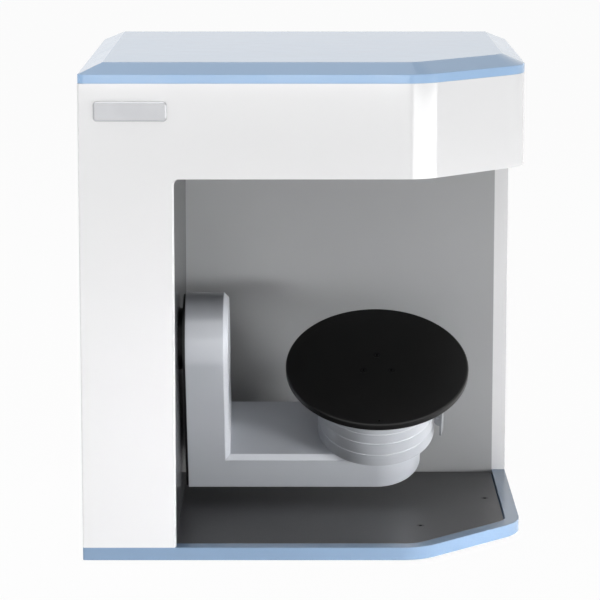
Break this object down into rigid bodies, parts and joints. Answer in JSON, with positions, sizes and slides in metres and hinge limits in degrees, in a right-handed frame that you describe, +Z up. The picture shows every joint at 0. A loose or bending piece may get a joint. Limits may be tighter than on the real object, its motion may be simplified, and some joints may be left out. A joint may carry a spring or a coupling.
{
  "type": "desktop 3d scanner",
  "caption": "Desktop 3D scanner: C-shaped cabinet with an open scan bay, a tilting arm with a round turntable, and optics in the head that look down at the plate.",
  "frame": {"origin": "on the table, under the middle of the cabinet's footprint", "axes": "+Z up, -Y out of the open front, +X to the right of someone who faces the bay"},
  "size_m": [0.305, 0.2935, 0.342],
  "materials": {
    "blue_gloss": "glossy light blue moulding",
    "white_gloss": "glossy white moulding",
    "grey_satin": "satin grey painted sheet",
    "dark_panel": "satin dark grey sheet",
    "grey_sheet": "fine textured light grey powder coat",
    "silver_paint": "fine silver metallic paint",
    "silver_badge": "bevelled, satin",
    "black_plate": "matt black",
    "lever_grey": "moulded grey",
    "black_rubber": "matt",
    "black_plastic": "fine texture",
    "black_anodised": "black anodised",
    "lens_black": "black, coated glass",
    "window_glass": "clear",
    "black_steel": "black oxide",
    "zinc_steel": "zinc plated sheet",
    "bearing_steel": "polished",
    "gear_steel": "turned and hobbed",
    "gear_brass": "machined",
    "motor_steel": "drawn can",
    "cast_aluminium": "milled",
    "socket_metal": "tinned shield",
    "board_green": "solder mask"
  },
  "bodies": {
    "cabinet": {"base_tray": "blue_gloss", "rubber_feet": "black_rubber", "floor_panel": "dark_panel", "floor_screws": "black_steel", "body_shell": "white_gloss", "rear_cover": "grey_sheet", "rear_cover_screws": "black_steel", "top_cover": "blue_gloss", "bay_left_wall": "grey_satin", "bay_back_wall": "grey_satin", "bay_ceiling": "dark_panel", "scan_window": "window_glass", "badge_plate": "silver_badge", "column_frame": "zinc_steel", "frame_screws": "black_steel", "bearing_block": "cast_aluminium", "swing_bearings": "bearing_steel", "swing_motor": "motor_steel", "motor_bracket": "zinc_steel", "optics_plate": "cast_aluminium", "optics_supports": "cast_aluminium", "projector": "black_anodised", "projector_lens": "lens_black", "left_camera": "black_anodised", "right_camera": "black_anodised", "left_camera_lens": "lens_black", "right_camera_lens": "lens_black", "main_board": "board_green", "board_standoffs": "gear_brass", "power_supply": "zinc_steel", "fan_frame": "black_plastic", "power_inlet": "black_plastic", "switch_frame": "black_plastic", "data_socket": "socket_metal"},
    "arm": {"swing_arm": "silver_paint", "arm_liner": "black_plastic", "arm_cover": "silver_paint", "arm_cover_screws": "black_steel", "swing_shaft": "black_steel", "swing_gear": "gear_brass", "turntable_housing": "silver_paint", "turntable_cap": "cast_aluminium", "turntable_bearings": "bearing_steel", "turntable_motor": "motor_steel", "lever_pin": "gear_steel"},
    "turntable": {"spindle": "gear_steel", "spindle_gear": "gear_brass", "scan_plate": "black_plate", "plate_screws": "black_steel"},
    "turntable_pinion": {"turntable_pinion_shaft": "gear_steel"},
    "lever": {"release_lever": "lever_grey"},
    "swing_pinion": {"swing_pinion_shaft": "gear_steel"},
    "fan": {"fan_rotor": "black_plastic"},
    "rocker": {"power_switch": "black_plastic"}
  },
  "joints": [
    {"name": "arm_swing", "type": "hinge", "parent": "cabinet", "child": "arm", "pos_m": [0, -0.035, 0.1362], "axis": [1, 0, 0], "range_deg": [-73.4, 46.6]},
    {"name": "plate_spin", "type": "hinge", "parent": "arm", "child": "turntable", "pos_m": [0.05175, -0.02305, 0.11413], "axis": [0, -0.4759, 0.8795], "continuous": true},
    {"name": "turntable_pinion_spin", "type": "hinge", "parent": "arm", "child": "turntable_pinion", "pos_m": [0.02695, -0.00644, 0.08343], "axis": [0, -0.4759, 0.8795], "continuous": true},
    {"name": "lever_press", "type": "hinge", "parent": "arm", "child": "lever", "pos_m": [0.09659, -0.01601, 0.07587], "axis": [0.2588, 0.8495, 0.4597], "range_deg": [0, 7], "stiffness_Nm_per_rad": 0.02, "springref_deg": -11.46},
    {"name": "swing_pinion_spin", "type": "hinge", "parent": "cabinet", "child": "swing_pinion", "pos_m": [0, -0.035, 0.18245], "axis": [1, 0, 0], "range_deg": [-150, 235]},
    {"name": "fan_spin", "type": "hinge", "parent": "cabinet", "child": "fan", "pos_m": [0.0775, 0.142, 0.2481], "axis": [0, 1, 0], "continuous": true},
    {"name": "rocker_press", "type": "hinge", "parent": "cabinet", "child": "rocker", "pos_m": [-0.12112, 0.142, 0.0773], "axis": [1, 0, 0], "range_deg": [-16, 0]}
  ],
  "couplings": [
    {"joint": "turntable_pinion_spin", "follows": "plate_spin", "ratio": -2.4444},
    {"joint": "swing_pinion_spin", "follows": "arm_swing", "ratio": -3.1111}
  ]
}
